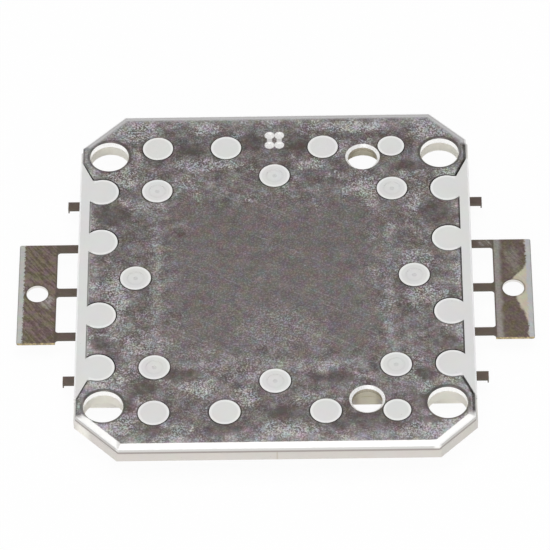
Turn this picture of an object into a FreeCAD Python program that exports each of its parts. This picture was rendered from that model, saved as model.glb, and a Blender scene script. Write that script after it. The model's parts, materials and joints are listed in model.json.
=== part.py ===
import FreeCAD, Part
import math
import os

# High-power chip-on-board LED module, lying on its light window with the heat slug up.
# Millimetres. +Z is up, X runs from lead to lead, and the origin is the middle of the
# window frame's rim, where the module rests.

V = FreeCAD.Vector
up = V(0, 0, 1)

# Heat slug: stamped copper plate
slug_width = 39.6
slug_length = 44.7
slug_thickness = 0.75
slug_left_cut = 4.3
slug_right_cut = 3.7
edge_roll_width = 0.7
edge_roll_drop = 0.13
edge_roll_brim = 0.12
seam_width = 0.12
seam_depth = 0.25

# Mounting holes in the four corners, and two countersunk locating holes
mount_hole_radius = 2.0
mount_hole_inset_x = 2.75
mount_hole_inset_y = 5.55
mount_hole_roll = 0.12
mount_hole_relief = 0.05
locating_hole_radius = 1.52
locating_hole_x = 9.1
locating_hole_inset_y = 6.05
locating_countersink = 0.28
locating_hole_relief = 0.48

# Four punched dots close together, the mark on the slug's +Y end
dot_radius = 0.42
dot_pitch_x = 1.0
dot_pitch_y = 1.35
dot_depth = 0.12
dot_inset_y = 3.6

# Housing: one plastic moulding, locked to the slug by rivets and keyed lugs
flange_thickness = 1.25
flange_lip_x = 0.2
flange_set_in_y = 0.1
flange_edge_break = 0.1
shoulder_depth = 1.1
shoulder_length = 28.9
shoulder_setback = 0.3
shoulder_corner_radius = 0.8
ring_depth = 1.1
ring_size = 26.9
ring_corner_radius = 1.5
ring_rim_round = 0.2
strip_width = 1.05
strip_straight_length = 26.8
strip_runout = 2.45
strip_root_step = 0.25
strip_edge_round = 0.2
lug_radius = 1.7
lug_centre_reach = 1.25
inner_lug_y = 4.92
end_lug_inset = 1.6

# Rivets, moulded through tapered holes in the slug
rivet_radius = 1.56
small_rivet_radius = 1.37
rivet_taper = 0.3
rivet_near_x = 5.0
rivet_row_inset_y = 4.6
rivet_corner_clear_x = 0.75
rivet_corner_clear_y = 0.55
rivet_side_clear = 2.8
rivet_end_clear = 2.5
gate_recess_radius = 0.85
gate_recess_depth = 0.06
gate_dimple_radius = 0.22
gate_dimple_depth = 0.12

# Light window in the housing
window_size = 22.6
window_corner_radius = 3.0
ledge_x = 1.0
ledge_y = 0.3
ledge_corner_radius = 2.6
window_draft = 0.3
fill_recess = 0.25

# Polarity marks, sunk in the shoulder on the light side
mark_length = 2.0
mark_stroke = 0.4
mark_depth = 0.15

# Leads: sheet metal, one each side
lead_thickness = 0.3
lead_cover = 0.25
tab_reach = 3.9
tab_length = 13.16
tab_corner_radius = 0.2
tab_hole_radius = 1.1
finger_reach = 2.2
finger_width = 0.88
finger_pitch = 5.9
finger_count = 3
finger_root_radius = 0.3
stub_reach = 1.3
stub_width = 1.0
stub_y = 11.75
stub_burr_width = 0.12
stub_burr_drop = 0.3
leg_offset_y = 0.24
rail_gap = 0.25
rail_width = 1.85

# LED chips: five strings of ten on the slug, bonded chip to chip and to both leads
string_count = 5
chips_per_string = 10
chip_size = 1.1
chip_thickness = 0.15
chip_edge_margin = 2.3
string_edge_margin = 3.3
attach_margin = 0.05
attach_thickness = 0.03
wire_size = 0.04
wire_foot = 0.08
wire_inset = 0.16
wire_loop = 0.22
wire_rail_loop = 0.35
wire_lean = 0.12

# Levels, counted up from the rim
z_shoulder = ring_depth
z_flange = z_shoulder + shoulder_depth
z_seat = z_flange + flange_thickness
z_top = z_seat + slug_thickness
z_lead_top = z_flange - lead_cover
z_lead = z_lead_top - lead_thickness
z_chip = z_seat - attach_thickness - chip_thickness

# Half sizes and places that follow from the sizes above
slug_x = slug_width / 2
slug_y = slug_length / 2
flange_x = slug_x + flange_lip_x
flange_y = slug_y - flange_set_in_y
shoulder_x = flange_x - shoulder_setback
strip_x = flange_x - strip_width
lug_x = strip_x - lug_centre_reach
lug_y = (inner_lug_y, strip_straight_length / 2 - end_lug_inset)
window_half = window_size / 2
mount_holes = [(sx * (slug_x - mount_hole_inset_x), sy * (slug_y - mount_hole_inset_y))
               for sx in (-1, 1) for sy in (-1, 1)]
locating_holes = [(locating_hole_x, sy * (slug_y - locating_hole_inset_y)) for sy in (-1, 1)]
rail_inner_x = window_half + rail_gap
rail_outer_x = rail_inner_x + rail_width
tab_inner_x = flange_x + finger_reach
tab_outer_x = tab_inner_x + tab_reach
tab_mid_x = (tab_inner_x + tab_outer_x) / 2


def outline_wire(points, z):
    """Closed wire at level z through an outline's (x, y) corners."""
    corners = [V(x, y, z) for x, y in points]
    return Part.makePolygon(corners + corners[:1])


def prism(points, z_low, z_high):
    return Part.Face(outline_wire(points, z_low)).extrude(up * (z_high - z_low))


def plate(x_low, x_high, y_low, y_high, z_low, z_high):
    return Part.makeBox(x_high - x_low, y_high - y_low, z_high - z_low, V(x_low, y_low, z_low))


def cylinder(x, y, radius, z_low, z_high):
    return Part.makeCylinder(radius, z_high - z_low, V(x, y, z_low))


def cone(x, y, radius_low, radius_high, z_low, z_high):
    return Part.makeCone(radius_low, radius_high, z_high - z_low, V(x, y, z_low))


def join(shapes):
    return shapes[0].fuse(shapes[1:]).removeSplitter()


def cut_corner_outline(half_x, half_y, left_cut, right_cut):
    """Rectangle with its corners cut off at 45 degrees, the left pair by more than the right pair."""
    left_x = left_cut - half_x
    right_x = half_x - right_cut
    left_y = half_y - left_cut
    right_y = half_y - right_cut
    return [(left_x, -half_y), (right_x, -half_y), (half_x, -right_y), (half_x, right_y),
            (right_x, half_y), (left_x, half_y), (-half_x, left_y), (-half_x, -left_y)]


def rounded_wire(half_x, half_y, radius, z):
    """Closed wire of a rectangle with round corners, centred on the Z axis."""
    x_in = half_x - radius
    y_in = half_y - radius
    edges = []
    for turn, (sx, sy) in enumerate(((1, 1), (-1, 1), (-1, -1), (1, -1))):
        start = turn * 90
        edges.append(Part.makeCircle(radius, V(sx * x_in, sy * y_in, z), up, start, start + 90))
    corners = [(e.Vertexes[0].Point, e.Vertexes[-1].Point) for e in edges]
    sides = [Part.makeLine(corners[i][1], corners[(i + 1) % 4][0]) for i in range(4)]
    return Part.Wire([e for pair in zip(edges, sides) for e in pair])


def rounded_block(half_x, half_y, radius, z_low, z_high):
    return Part.Face(rounded_wire(half_x, half_y, radius, z_low)).extrude(up * (z_high - z_low))


def edges_where(shape, test):
    return [e for e in shape.Edges if all(test(v.Point) for v in e.Vertexes)]


def upright(edges):
    return [e for e in edges if abs(e.tangentAt(e.FirstParameter).z) > 0.99]


def rivet_places():
    """(x, y, radius, gated) of the rivets: two outer rows, then those round the window."""
    row_y = slug_y - rivet_row_inset_y
    corner_x = window_half + rivet_corner_clear_x
    corner_y = window_half + rivet_corner_clear_y
    places = []
    for sy in (-1, 1):
        for x in (-corner_x, -rivet_near_x, rivet_near_x):
            places.append((x, sy * row_y, rivet_radius, False))
        places.append((corner_x, sy * row_y, small_rivet_radius, False))
        for sx in (-1, 1):
            places.append((sx * corner_x, sy * corner_y, rivet_radius, True))
        places.append((0, sy * (window_half + rivet_end_clear), rivet_radius, True))
    for sx in (-1, 1):
        places.append((sx * (window_half + rivet_side_clear), 0, rivet_radius, True))
    return places


def rivet_shank(x, y, radius):
    """Taper that locks the slug: wide at its open face, narrow where it joins the flange."""
    return cone(x, y, radius - rivet_taper, radius, z_seat, z_top)


def side_strip_outline(side, grow, x_outer):
    """Strip beside the slug, squared off behind its end lugs, then running out along a slant."""
    y_lug = lug_y[-1]
    y_root = strip_straight_length / 2 + grow
    y_end = y_root + strip_runout
    x_root = strip_x - strip_root_step - grow
    half = [(strip_x - grow, y_lug), (lug_x, y_lug), (lug_x, y_root), (x_root, y_root),
            (slug_x, y_end), (x_outer, y_end)]
    points = half + [(x, -y) for x, y in reversed(half)]
    return [(side * x, y) for x, y in points]


def side_lock(side):
    """Strip and its keyed lugs, as deep as the slug is thick."""
    strip = prism(side_strip_outline(side, 0, flange_x), z_seat, z_top)
    outer_edge = edges_where(strip, lambda p: p.z > z_seat and abs(p.x) > slug_x)
    pieces = [strip.makeFillet(strip_edge_round, [e for e in outer_edge if e.Length > strip_straight_length])]
    for y in lug_y:
        for sy in (-1, 1):
            pieces.append(cylinder(side * lug_x, sy * y, lug_radius, z_seat, z_top))
    return join(pieces)


def side_seam(side):
    """Cutter for the shallow seam that the slug's edge leaves beside the strip and lugs."""
    z_low = z_top - seam_depth
    pieces = [prism(side_strip_outline(side, seam_width, flange_x + seam_width), z_low, z_top)]
    for y in lug_y:
        for sy in (-1, 1):
            pieces.append(cone(side * lug_x, sy * y, lug_radius, lug_radius + seam_width, z_low, z_top))
    return join(pieces)


def slug_blank():
    """Plate whose upper edge falls away in a wide, shallow roll, as the punch leaves it."""
    z_roll = z_top - edge_roll_drop
    outline = cut_corner_outline(slug_x, slug_y, slug_left_cut, slug_right_cut)
    inner_x = slug_x - edge_roll_width
    inner_y = slug_y - edge_roll_width
    shrink = (2 - math.sqrt(2)) * edge_roll_width
    inner = cut_corner_outline(inner_x, inner_y, slug_left_cut - shrink, slug_right_cut - shrink)
    crown = Part.makeLoft([outline_wire(outline, z_roll), outline_wire(inner, z_top)], True, True)
    blank = join([prism(outline, z_seat, z_roll), crown])
    brim = edges_where(blank, lambda p: abs(p.z - z_roll) < edge_roll_drop / 2)
    return blank.makeFillet(edge_roll_brim, brim)


def heat_slug():
    slug = slug_blank()
    cutters = []
    for side in (-1, 1):
        cutters.append(side_lock(side))
        cutters.append(side_seam(side))
    for x, y, radius, gated in rivet_places():
        cutters.append(rivet_shank(x, y, radius))
        cutters.append(cone(x, y, radius - seam_width, radius + seam_width, z_top - seam_depth, z_top))
    for x, y in mount_holes:
        cutters.append(cylinder(x, y, mount_hole_radius, z_seat, z_top))
        z_low = z_top - mount_hole_roll
        cutters.append(cone(x, y, mount_hole_radius, mount_hole_radius + mount_hole_roll, z_low, z_top))
    for x, y in locating_holes:
        cutters.append(cylinder(x, y, locating_hole_radius, z_seat, z_top))
        mouth = locating_hole_radius + locating_countersink
        cutters.append(cone(x, y, locating_hole_radius, mouth, z_top - locating_countersink, z_top))
    for sx in (-1, 1):
        for sy in (-1, 1):
            x = sx * dot_pitch_x / 2
            y = slug_y - dot_inset_y + sy * dot_pitch_y / 2
            cutters.append(cone(x, y, dot_radius - dot_depth, dot_radius, z_top - dot_depth, z_top))
    return slug.cut(cutters)


def window_volume(z_low):
    """Space inside the window, from the slug down to z_low: straight, then a ledge, then a draft."""
    lower = rounded_block(window_half, window_half, window_corner_radius, z_lead, z_seat)
    ledge = rounded_wire(window_half + ledge_x, window_half + ledge_y, ledge_corner_radius, z_lead)
    rim = rounded_wire(window_half + ledge_x + window_draft, window_half + ledge_y + window_draft,
                       ledge_corner_radius + window_draft, 0)
    upper = Part.makeLoft([ledge, rim], True, True)
    if z_low > 0:
        below = plate(-ring_size, ring_size, -ring_size, ring_size, -ring_depth, z_low)
        upper = upper.cut(below)
    return lower.fuse(upper).removeSplitter()


def polarity_marks():
    """A plus by the left lead and a minus by the right one, as cutters."""
    x = (ring_size / 2 + shoulder_x) / 2
    half = mark_length / 2
    stroke = mark_stroke / 2
    z_high = z_shoulder + mark_depth
    across = plate(-x - half, -x + half, -stroke, stroke, z_shoulder, z_high)
    upright = plate(-x - stroke, -x + stroke, -half, half, z_shoulder, z_high)
    minus = plate(x - stroke, x + stroke, -half, half, z_shoulder, z_high)
    return [across.fuse(upright), minus]


def housing(leads):
    outline = cut_corner_outline(flange_x, flange_y, slug_left_cut, slug_right_cut)
    flange = prism(outline, z_flange, z_seat)
    upper_edges = edges_where(flange, lambda p: p.z > z_seat - flange_edge_break)
    flange = flange.makeChamfer(flange_edge_break, upper_edges)
    shoulder = rounded_block(shoulder_x, shoulder_length / 2, shoulder_corner_radius, z_shoulder, z_flange)
    ring = rounded_block(ring_size / 2, ring_size / 2, ring_corner_radius, 0, z_shoulder)
    ring = ring.makeFillet(ring_rim_round, edges_where(ring, lambda p: p.z < ring_rim_round))
    pieces = [flange, shoulder, ring]
    for side in (-1, 1):
        pieces.append(side_lock(side))
    for x, y, radius, gated in rivet_places():
        pieces.append(rivet_shank(x, y, radius))
    body = join(pieces)

    cutters = [window_volume(0)] + list(leads) + polarity_marks()
    for x, y in mount_holes:
        cutters.append(cylinder(x, y, mount_hole_radius + mount_hole_relief, z_flange, z_seat))
    for x, y in locating_holes:
        cutters.append(cylinder(x, y, locating_hole_radius + locating_hole_relief, z_flange, z_seat))
    for x, y, radius, gated in rivet_places():
        if gated:
            cutters.append(cylinder(x, y, gate_recess_radius, z_top - gate_recess_depth, z_top))
            cutters.append(cylinder(x, y, gate_dimple_radius, z_top - gate_dimple_depth, z_top))
    return body.cut(cutters)


def lead(side):
    """Tab, fingers, bonding rail and tie-bar stubs, cut from one sheet."""
    half = tab_length / 2
    z_low = z_lead
    z_high = z_lead_top
    tab = plate(tab_inner_x, tab_outer_x, -half, half, z_low, z_high)
    outer_corners = edges_where(tab, lambda p: abs(p.x - tab_outer_x) < tab_corner_radius)
    pieces = [tab.makeFillet(tab_corner_radius, upright(outer_corners))]
    for i in range(finger_count):
        y = (i - (finger_count - 1) / 2) * finger_pitch + leg_offset_y
        y_low = y - finger_width / 2
        pieces.append(plate(rail_outer_x, tab_inner_x, y_low, y_low + finger_width, z_low, z_high))
    rail_half = stub_y + stub_width / 2
    y_low = leg_offset_y - rail_half
    y_high = leg_offset_y + rail_half
    pieces.append(plate(rail_inner_x, rail_outer_x, y_low, y_high, z_low, z_high))
    for sy in (-1, 1):
        y_low = sy * stub_y + leg_offset_y - stub_width / 2
        y_high = y_low + stub_width
        x_end = flange_x + stub_reach
        pieces.append(plate(rail_outer_x, x_end, y_low, y_high, z_low, z_high))
        pieces.append(plate(x_end - stub_burr_width, x_end, y_low, y_high, z_low - stub_burr_drop, z_low))
    sheet = join(pieces)
    inner = half - finger_root_radius
    roots = edges_where(sheet, lambda p: abs(p.x - tab_inner_x) < finger_root_radius and abs(p.y) < inner)
    sheet = sheet.makeFillet(finger_root_radius, upright(roots))
    sheet = sheet.cut(cylinder(tab_mid_x, 0, tab_hole_radius, z_low, z_high))
    if side < 0:
        sheet = sheet.mirror(V(0, 0, 0), V(1, 0, 0))
    return sheet


def spread(count, half_span):
    """Evenly spaced places from -half_span to half_span."""
    return [(2 * i / (count - 1) - 1) * half_span for i in range(count)]


def chip_places(y):
    return [(x, y) for x in spread(chips_per_string, window_half - chip_edge_margin)]


def attach_pads(y):
    half = chip_size / 2 + attach_margin
    z_low = z_seat - attach_thickness
    return [plate(x - half, x + half, y - half, y + half, z_low, z_seat) for x, y in chip_places(y)]


def chips(y):
    half = chip_size / 2
    z_high = z_seat - attach_thickness
    return [plate(x - half, x + half, y - half, y + half, z_chip, z_high) for x, y in chip_places(y)]


def ribbon(points, y):
    """Wire of square section whose side view is the closed outline of (x, z) points."""
    corners = [V(x, y - wire_size / 2, z) for x, z in points]
    face = Part.Face(Part.makePolygon(corners + corners[:1]))
    return face.extrude(V(0, wire_size, 0))


def chip_wire(x_from, x_to, y):
    """Low loop from one chip's face to the next; the light side is down."""
    z_far = z_chip - wire_loop
    return ribbon([(x_from, z_chip), (x_from + wire_lean, z_far), (x_to - wire_lean, z_far), (x_to, z_chip),
                   (x_to - wire_foot, z_chip), (x_to - wire_lean - wire_size, z_far + wire_size),
                   (x_from + wire_lean + wire_size, z_far + wire_size), (x_from + wire_foot, z_chip)], y)


def rail_wire(x_from, side, y):
    """Loop from the last chip over the ledge to the lead's bonding rail."""
    x_to = window_half + (ledge_x + rail_gap) / 2
    z_far = z_lead - wire_rail_loop
    x_rise = x_from + 4 * wire_lean
    points = [(x_from, z_chip), (x_rise, z_far), (x_to - wire_lean, z_far), (x_to, z_lead),
              (x_to - wire_foot, z_lead), (x_to - wire_lean - wire_size, z_far + wire_size),
              (x_rise + wire_size, z_far + wire_size), (x_from + wire_foot, z_chip)]
    return ribbon([(side * x, z) for x, z in points], y)


def bond_wires(y):
    reach = chip_size / 2 - wire_inset
    columns = [x for x, y_chip in chip_places(y)]
    wires = [rail_wire(columns[-1] + reach - wire_foot, side, y) for side in (-1, 1)]
    for x_left, x_right in zip(columns, columns[1:]):
        wires.append(chip_wire(x_left + reach - wire_foot, x_right - reach + wire_foot, y))
    return wires


def encapsulant(embedded):
    """Silicone that fills the window, with true pockets for what it surrounds."""
    return window_volume(fill_recess).cut(embedded)


def build():
    left = lead(-1)
    right = lead(1)
    nodes = {
        "heat_slug": heat_slug(),
        "housing": housing((left, right)),
        "lead_left": left,
        "lead_right": right,
    }
    embedded = []
    for number, y in enumerate(spread(string_count, window_half - string_edge_margin), 1):
        parts = {"die_attach": attach_pads(y), "led_chips": chips(y), "bond_wires": bond_wires(y)}
        for name, solids in parts.items():
            nodes[name + "_string_" + str(number)] = Part.Compound(solids)
            embedded += solids
    nodes["phosphor_encapsulant"] = encapsulant(embedded)
    return nodes


def save(nodes):
    os.makedirs("parts", exist_ok=True)
    for name, shape in nodes.items():
        shape.exportStep("parts/" + name + ".step")
        print(name, "solids", len(shape.Solids), "volume", round(shape.Volume, 2), "valid", shape.isValid())


save(build())
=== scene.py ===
import json
import math

import bpy
from mathutils import Matrix, Vector


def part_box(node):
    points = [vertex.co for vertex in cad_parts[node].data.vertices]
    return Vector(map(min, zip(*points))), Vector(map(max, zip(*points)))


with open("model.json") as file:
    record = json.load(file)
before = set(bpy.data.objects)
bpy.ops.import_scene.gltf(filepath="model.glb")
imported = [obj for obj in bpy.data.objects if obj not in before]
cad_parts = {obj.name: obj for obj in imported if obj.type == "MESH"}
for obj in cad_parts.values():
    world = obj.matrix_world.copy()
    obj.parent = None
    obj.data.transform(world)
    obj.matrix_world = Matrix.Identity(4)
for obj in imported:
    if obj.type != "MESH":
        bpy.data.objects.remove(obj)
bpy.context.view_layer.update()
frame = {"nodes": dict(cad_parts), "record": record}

mm = 0.001
nodes = frame["nodes"]
print("frame loaded:", len(nodes), "nodes")


# Camera: a long lens, seen from the front at about 49 degrees
cameraView = {
    "aim": (-0.046 * mm, 3.854 * mm, 0),
    "distance": 509.6 * mm,
    "elevation": 48.69,  # degrees above the floor
    "azimuth": 0.924,    # degrees towards +X from straight in front
    "roll": -1.448,
    "fieldOfView": 6.318,
}


def addCamera(view):
    elevation = math.radians(view["elevation"])
    azimuth = math.radians(view["azimuth"])
    roll = math.radians(view["roll"])
    flat = math.cos(elevation)
    back = Vector((math.sin(azimuth) * flat, -math.cos(azimuth) * flat, math.sin(elevation)))
    right = (-back).cross(Vector((0, 0, 1))).normalized()
    up = back.cross(right)
    rolledRight = right * math.cos(roll) + up * math.sin(roll)
    rolledUp = up * math.cos(roll) - right * math.sin(roll)
    camera = bpy.data.cameras.new("photoCamera")
    camera.angle = math.radians(view["fieldOfView"])
    cameraObject = bpy.data.objects.new("photoCamera", camera)
    place = Matrix((rolledRight, rolledUp, back)).transposed().to_4x4()
    place.translation = Vector(view["aim"]) + back * view["distance"]
    cameraObject.matrix_world = place
    bpy.context.scene.collection.objects.link(cameraObject)
    bpy.context.scene.camera = cameraObject


# Small builder for node trees: each call adds a node and returns its output
class Nodes:
    def __init__(self, tree):
        self.tree = tree
        self.column = 0

    def add(self, kind, inputs=None, **settings):
        node = self.tree.nodes.new(kind)
        self.column += 1
        node.location = (180 * (self.column % 12), -220 * (self.column // 12))
        for name, value in settings.items():
            setattr(node, name, value)
        for name, value in (inputs or {}).items():
            self.feed(node.inputs[name], value)
        return node

    def feed(self, socket, value):
        if isinstance(value, bpy.types.NodeSocket):
            self.tree.links.new(value, socket)
        else:
            socket.default_value = value

    def math(self, operation, a, b=0.0, clamp=False):
        return self.add("ShaderNodeMath", {0: a, 1: b}, operation=operation, use_clamp=clamp).outputs[0]

    def times(self, a, b):
        return self.math("MULTIPLY", a, b)

    def plus(self, a, b, clamp=False):
        return self.math("ADD", a, b, clamp)

    def minus(self, a, b):
        return self.math("SUBTRACT", a, b)

    def invert(self, a):
        return self.math("SUBTRACT", 1.0, a)

    def larger(self, a, b):
        return self.math("MAXIMUM", a, b)

    def smaller(self, a, b):
        return self.math("MINIMUM", a, b)

    def absolute(self, a):
        return self.math("ABSOLUTE", a)

    def split(self, vector):
        return self.add("ShaderNodeSeparateXYZ", {"Vector": vector}).outputs

    def facing(self):
        return self.split(self.add("ShaderNodeNewGeometry").outputs["Normal"])["Z"]

    def vector(self, operation, a, b=(0, 0, 0), result=0):
        return self.add("ShaderNodeVectorMath", {0: a, 1: b}, operation=operation).outputs[result]

    def ramp(self, value, low, high, outLow=0.0, outHigh=1.0):
        return self.add("ShaderNodeMapRange", {"Value": value, "From Min": low, "From Max": high,
                                               "To Min": outLow, "To Max": outHigh},
                        interpolation_type="SMOOTHSTEP").outputs["Result"]

    def fall(self, value, low, high):
        return self.ramp(value, low, high, 1.0, 0.0)

    def spread(self, value, outLow, outHigh):
        return self.ramp(value, 0.0, 1.0, outLow, outHigh)

    def tinted(self, a, tint):
        return self.mix(1.0, a, tint, "MULTIPLY")

    def mix(self, factor, a, b, blend="MIX"):
        node = self.add("ShaderNodeMix", data_type="RGBA", blend_type=blend)
        self.feed(node.inputs["Factor"], factor)
        self.feed(node.inputs[6], a)
        self.feed(node.inputs[7], b)
        return node.outputs[2]

    def shades(self, value, stops):
        node = self.add("ShaderNodeValToRGB", {"Fac": value})
        elements = node.color_ramp.elements
        elements[0].position, elements[0].color = stops[0]
        elements[1].position, elements[1].color = stops[-1]
        for position, colour in stops[1:-1]:
            elements.new(position).color = colour
        return node.outputs["Color"]

    def noise(self, vector, scale, detail=2.0, roughness=0.5, stretch=None, distortion=0.0, result=0):
        if stretch:
            vector = self.vector("MULTIPLY", vector, stretch)
        return self.add("ShaderNodeTexNoise", {"Vector": vector, "Scale": scale, "Detail": detail,
                                               "Roughness": roughness,
                                               "Distortion": distortion}).outputs[result]


def newGroup(name, inputs, outputs):
    tree = bpy.data.node_groups.new(name, "ShaderNodeTree")
    for socketName, (kind, value) in inputs.items():
        socket = tree.interface.new_socket(name=socketName, in_out="INPUT", socket_type="NodeSocket" + kind)
        if value is not None:
            socket.default_value = value
    for socketName, kind in outputs.items():
        tree.interface.new_socket(name=socketName, in_out="OUTPUT", socket_type="NodeSocket" + kind)
    build = Nodes(tree)
    entry = build.add("NodeGroupInput").outputs
    leave = build.add("NodeGroupOutput").inputs
    return build, entry, leave


def use(build, group, inputs):
    return build.add("ShaderNodeGroup", inputs, node_tree=group).outputs


# Round features of the slug's face, in mm. The record's mounts give the holes
holePattern = {mount["name"]: mount["dims"] for mount in frame["record"]["mounts"]}
cornerHoles = holePattern["corner_holes"]
locatingHoles = holePattern["locating_holes"]
tabHoles = holePattern["solder_tabs"]
layout = {
    "rivet": 1.56,                       # radii
    "smallRivet": 1.37,
    "lug": 1.7,
    "gate": 0.85,
    "punch": 0.42,
    "nearX": 5.0,                        # rivets of the outer rows
    "farX": 12.05,
    "rowY": 17.75,
    "innerY": 11.85,                     # rivets beside the window's corners
    "middleX": 14.1,                     # rivets on the middle lines
    "middleY": 13.8,
    "lugX": 17.7,
    "lugNearY": 4.92,
    "lugFarY": 11.8,
    "locatingX": 9.1,
    "markX": 0.5,                        # punched dots
    "markY": 18.75,
    "markHalf": 0.675,
}
circles = {                              # (x, y, radius)
    "discs": [
        (layout["nearX"], layout["rowY"], layout["rivet"]),
        (layout["farX"], layout["innerY"], layout["rivet"]),
        (0, layout["middleY"], layout["rivet"]),
        (layout["middleX"], 0, layout["rivet"]),
        (layout["lugX"], layout["lugNearY"], layout["lug"]),
        (layout["lugX"], layout["lugFarY"], layout["lug"]),
    ],
    "rowEnds": [
        (-layout["farX"], layout["rowY"], layout["rivet"]),
        (layout["farX"], layout["rowY"], layout["smallRivet"]),
    ],
    "corners": [(cornerHoles["spacing_x_mm"] / 2, cornerHoles["spacing_y_mm"] / 2, cornerHoles["hole_r_mm"])],
    "locating": [(layout["locatingX"], locatingHoles["spacing_y_mm"] / 2, locatingHoles["hole_r_mm"])],
    "gates": [
        (layout["farX"], layout["innerY"], layout["gate"]),
        (0, layout["middleY"], layout["gate"]),
        (layout["middleX"], 0, layout["gate"]),
    ],
    "punched": [
        (layout["markX"], layout["markY"] - layout["markHalf"], layout["punch"]),
        (layout["markX"], layout["markY"] + layout["markHalf"], layout["punch"]),
    ],
    "tabs": [(tabHoles["spacing_x_mm"] / 2, 0, tabHoles["hole_r_mm"])],
}


# Where the groups' masks start and end
groupRange = {
    "calm": (-1.5, 4.5),                 # mm inside the frame's lines
    "mottle": (0.3, 0.7),
    "sand": (0.42, 0.66),
    "sandMean": 0.38,
    "spot": (0.5, 1.2),                  # shares of the spot's reach
    "patch": (0.0, 0.16),
    "patchLevel": (0.68, 0.36),          # at no and at full coverage
    "scratch": (0.0, 0.06),
    "speck": (0.0, 0.03),
}


def distanceGroup(name, places, mirrorX=True, mirrorY=True):
    # Distance to the edge of the nearest circle, negative inside it
    build, entry, leave = newGroup(name, {"Vector": ("Vector", None)}, {"Distance": "Float"})
    axes = build.split(entry["Vector"])
    sideX = build.absolute(axes["X"]) if mirrorX else axes["X"]
    sideY = build.absolute(axes["Y"]) if mirrorY else axes["Y"]
    point = build.add("ShaderNodeCombineXYZ", {"X": sideX, "Y": sideY}).outputs[0]
    nearest = None
    for placeX, placeY, radius in places:
        away = build.vector("DISTANCE", point, (placeX, placeY, 0), result="Value")
        edge = build.minus(away, radius)
        nearest = edge if nearest is None else build.smaller(nearest, edge)
    build.feed(leave["Distance"], nearest)
    return build.tree


def distanceTo(build, group, point):
    return use(build, group, {"Vector": point})["Distance"]


def outlineGroup():
    # How deep a point lies inside a plate's outline, whose corners are cut off at 45 degrees
    build, entry, leave = newGroup("outlineDepth", {
        "Vector": ("Vector", None), "Half X": ("Float", 20.0), "Half Y": ("Float", 20.0),
        "Left Cut": ("Float", 4.0), "Right Cut": ("Float", 4.0)}, {"Depth": "Float"})
    signed = build.split(entry["Vector"])
    onRight = build.math("GREATER_THAN", signed["X"], 0.0)
    extra = build.minus(entry["Right Cut"], entry["Left Cut"])
    cornerCut = build.plus(entry["Left Cut"], build.times(extra, onRight))
    axes = build.split(build.vector("ABSOLUTE", entry["Vector"]))
    leftX = build.minus(entry["Half X"], axes["X"])
    leftY = build.minus(entry["Half Y"], axes["Y"])
    leftCut = build.times(build.minus(build.plus(leftX, leftY), cornerCut), math.sqrt(0.5))
    build.feed(leave["Depth"], build.smaller(build.smaller(leftX, leftY), leftCut))
    return build.tree


def framePrintGroup():
    # Soft lines of a square frame, and the calm area inside it with a wandering border
    build, entry, leave = newGroup("framePrint", {
        "Vector": ("Vector", None), "Half": ("Float", 10.0), "Width": ("Float", 1.0),
        "Wander": ("Float", 3.0)}, {"Lines": "Float", "Inside": "Float"})
    axes = build.split(build.vector("ABSOLUTE", entry["Vector"]))
    outward = build.larger(axes["X"], axes["Y"])
    away = build.absolute(build.minus(outward, entry["Half"]))
    build.feed(leave["Lines"], build.fall(away, 0.0, entry["Width"]))
    drift = build.noise(entry["Vector"], 0.3, detail=3, roughness=0.6)
    drift = build.times(build.minus(drift, 0.5), build.times(entry["Wander"], 4.0))
    inner = build.plus(build.minus(entry["Half"], outward), drift)
    build.feed(leave["Inside"], build.ramp(inner, *groupRange["calm"]))
    return build.tree


def grainGroup():
    # Fine mottle of a matt plated or moulded surface, with a slight drift of its hue
    build, entry, leave = newGroup("surfaceGrain", {
        "Vector": ("Vector", None), "Scale": ("Float", 4.0), "Hue Drift": ("Float", 0.1)},
        {"Value": "Float", "Tint": "Color"})
    fine = build.noise(entry["Vector"], entry["Scale"], detail=4, roughness=0.7)
    hueScale = build.times(entry["Scale"], 0.3)
    hue = build.noise(entry["Vector"], hueScale, roughness=0.6, result="Color")
    tint = build.mix(entry["Hue Drift"], (0.5, 0.5, 0.5, 1), hue)
    build.feed(leave["Value"], build.ramp(fine, *groupRange["mottle"]))
    build.feed(leave["Tint"], build.vector("MULTIPLY", tint, (2, 2, 2)))
    return build.tree


def frostGroup():
    # Tone of plating under a sandy deposit: broad blotches, and light grains on a darker bed
    build, entry, leave = newGroup("sandyFrost", {
        "Vector": ("Vector", None), "Grain Scale": ("Float", 5.2), "Blotch Scale": ("Float", 0.8),
        "Level": ("Float", 0.35), "Grains": ("Float", 0.5), "Blotches": ("Float", 0.5)}, {"Tone": "Float"})
    grain = build.noise(entry["Vector"], entry["Grain Scale"], detail=3, roughness=0.8)
    blotch = build.noise(entry["Vector"], entry["Blotch Scale"], detail=4, roughness=0.6)
    sand = build.minus(build.ramp(grain, *groupRange["sand"]), groupRange["sandMean"])
    fine = build.times(sand, entry["Grains"])
    broad = build.times(build.minus(blotch, 0.5), build.times(entry["Blotches"], 2.0))
    build.feed(leave["Tone"], build.plus(build.plus(fine, broad), entry["Level"], clamp=True))
    return build.tree


def spotGroup():
    # One soft spot with a wandering border
    build, entry, leave = newGroup("softSpot", {
        "Vector": ("Vector", None), "Centre": ("Vector", None), "Reach": ("Vector", None),
        "Wander": ("Float", 0.8)}, {"Mask": "Float"})
    offset = build.vector("SUBTRACT", entry["Vector"], entry["Centre"])
    flat = build.vector("MULTIPLY", offset, (1, 1, 0))
    away = build.vector("LENGTH", build.vector("DIVIDE", flat, entry["Reach"]), result="Value")
    drift = build.minus(build.noise(entry["Vector"], 1.1, detail=3, roughness=0.6), 0.5)
    drift = build.times(drift, build.times(entry["Wander"], 2.0))
    build.feed(leave["Mask"], build.fall(build.plus(away, drift), *groupRange["spot"]))
    return build.tree


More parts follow.
